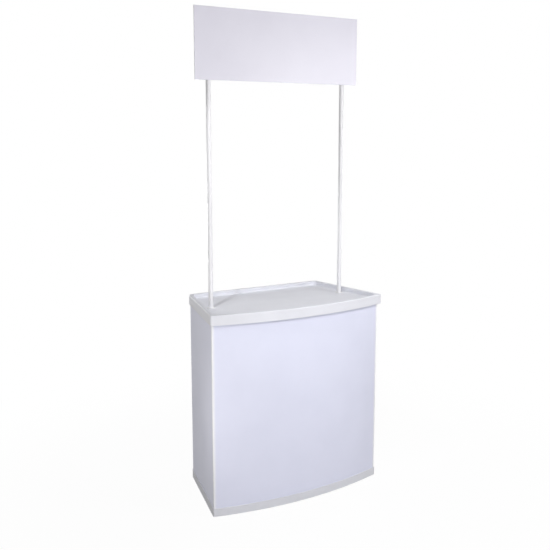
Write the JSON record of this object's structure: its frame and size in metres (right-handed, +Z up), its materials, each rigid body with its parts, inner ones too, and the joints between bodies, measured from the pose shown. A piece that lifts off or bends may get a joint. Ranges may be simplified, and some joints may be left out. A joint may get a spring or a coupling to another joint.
{
  "type": "exhibition counter",
  "caption": "Portable exhibition counter: bow-fronted sheet body between a moulded base and a tray top, open back with a shelf, and a header board on plug-in poles.",
  "frame": {"origin": "on the floor, at the middle of the counter's outer box", "axes": "+Z up, -Y out of the bowed front towards the customer, +Y towards the open back, +X to the customer's right"},
  "size_m": [0.8288, 0.472, 2.048],
  "materials": {
    "moulded_plastic": "satin moulded plastic, off-white",
    "body_sheet": "satin rigid plastic sheet, cool white",
    "header_sheet": "satin foamed plastic board, white",
    "shelf_plastic": "satin moulded plastic, off-white",
    "soft_strip": "soft plastic strip, white",
    "rail_plastic": "rigid plastic angle, white",
    "pole_paint": "white powder-coated tube",
    "post_paint": "white powder-coated tube",
    "fitting_plastic": "glossy moulded plastic, white",
    "clip_plastic": "glossy moulded plastic, white",
    "latch_plastic": "glossy moulded plastic, light grey",
    "foam_tape": "double-sided foam tape, white",
    "foot_rubber": "grey rubber",
    "screw_steel": "zinc-plated steel"
  },
  "bodies": {
    "counter_base": {"base_tray": "moulded_plastic", "rubber_feet": "foot_rubber", "front_panel": "body_sheet", "left_side_panel": "body_sheet", "right_side_panel": "body_sheet", "left_hinge_strip": "soft_strip", "right_hinge_strip": "soft_strip", "left_post": "post_paint", "right_post": "post_paint", "left_shelf_rail": "rail_plastic", "right_shelf_rail": "rail_plastic", "latch_screws": "screw_steel"},
    "table": {"table_top": "moulded_plastic", "left_pole_socket": "fitting_plastic", "right_pole_socket": "fitting_plastic"},
    "left_lower_section": {"left_lower_pole": "pole_paint", "left_pole_joiner": "fitting_plastic"},
    "right_lower_section": {"right_lower_pole": "pole_paint", "right_pole_joiner": "fitting_plastic"},
    "left_upper_section": {"left_upper_pole": "pole_paint", "left_pole_cap": "fitting_plastic"},
    "right_upper_section": {"right_upper_pole": "pole_paint", "right_pole_cap": "fitting_plastic"},
    "header": {"header_board": "header_sheet", "left_header_clips": "clip_plastic", "right_header_clips": "clip_plastic", "header_tapes": "foam_tape"},
    "inner_shelf": {"shelf": "shelf_plastic"},
    "left_turn_latch": {"left_latch": "latch_plastic"},
    "right_turn_latch": {"right_latch": "latch_plastic"}
  },
  "joints": [
    {"name": "table_lift", "type": "slide", "parent": "counter_base", "child": "table", "axis": [0, 0, 1], "range_m": [0, 0.06]},
    {"name": "left_lower_lift", "type": "slide", "parent": "table", "child": "left_lower_section", "axis": [0, 0, 1], "range_m": [0, 0.06]},
    {"name": "right_lower_lift", "type": "slide", "parent": "table", "child": "right_lower_section", "axis": [0, 0, 1], "range_m": [0, 0.06]},
    {"name": "left_upper_lift", "type": "slide", "parent": "left_lower_section", "child": "left_upper_section", "axis": [0, 0, 1], "range_m": [0, 0.045]},
    {"name": "right_upper_lift", "type": "slide", "parent": "right_lower_section", "child": "right_upper_section", "axis": [0, 0, 1], "range_m": [0, 0.045]},
    {"name": "header_slide", "type": "slide", "parent": "table", "child": "header", "axis": [0, 0, 1], "range_m": [-0.9, 0.22]},
    {"name": "shelf_lift", "type": "slide", "parent": "counter_base", "child": "inner_shelf", "axis": [0, 0, 1], "range_m": [0, 0.15]},
    {"name": "left_latch_turn", "type": "hinge", "parent": "counter_base", "child": "left_turn_latch", "pos_m": [-0.2835, 0.216, 0.0387], "axis": [0, 0, 1], "range_deg": [0, 90]},
    {"name": "right_latch_turn", "type": "hinge", "parent": "counter_base", "child": "right_turn_latch", "pos_m": [0.2835, 0.216, 0.0387], "axis": [0, 0, 1], "range_deg": [-90, 0]}
  ]
}
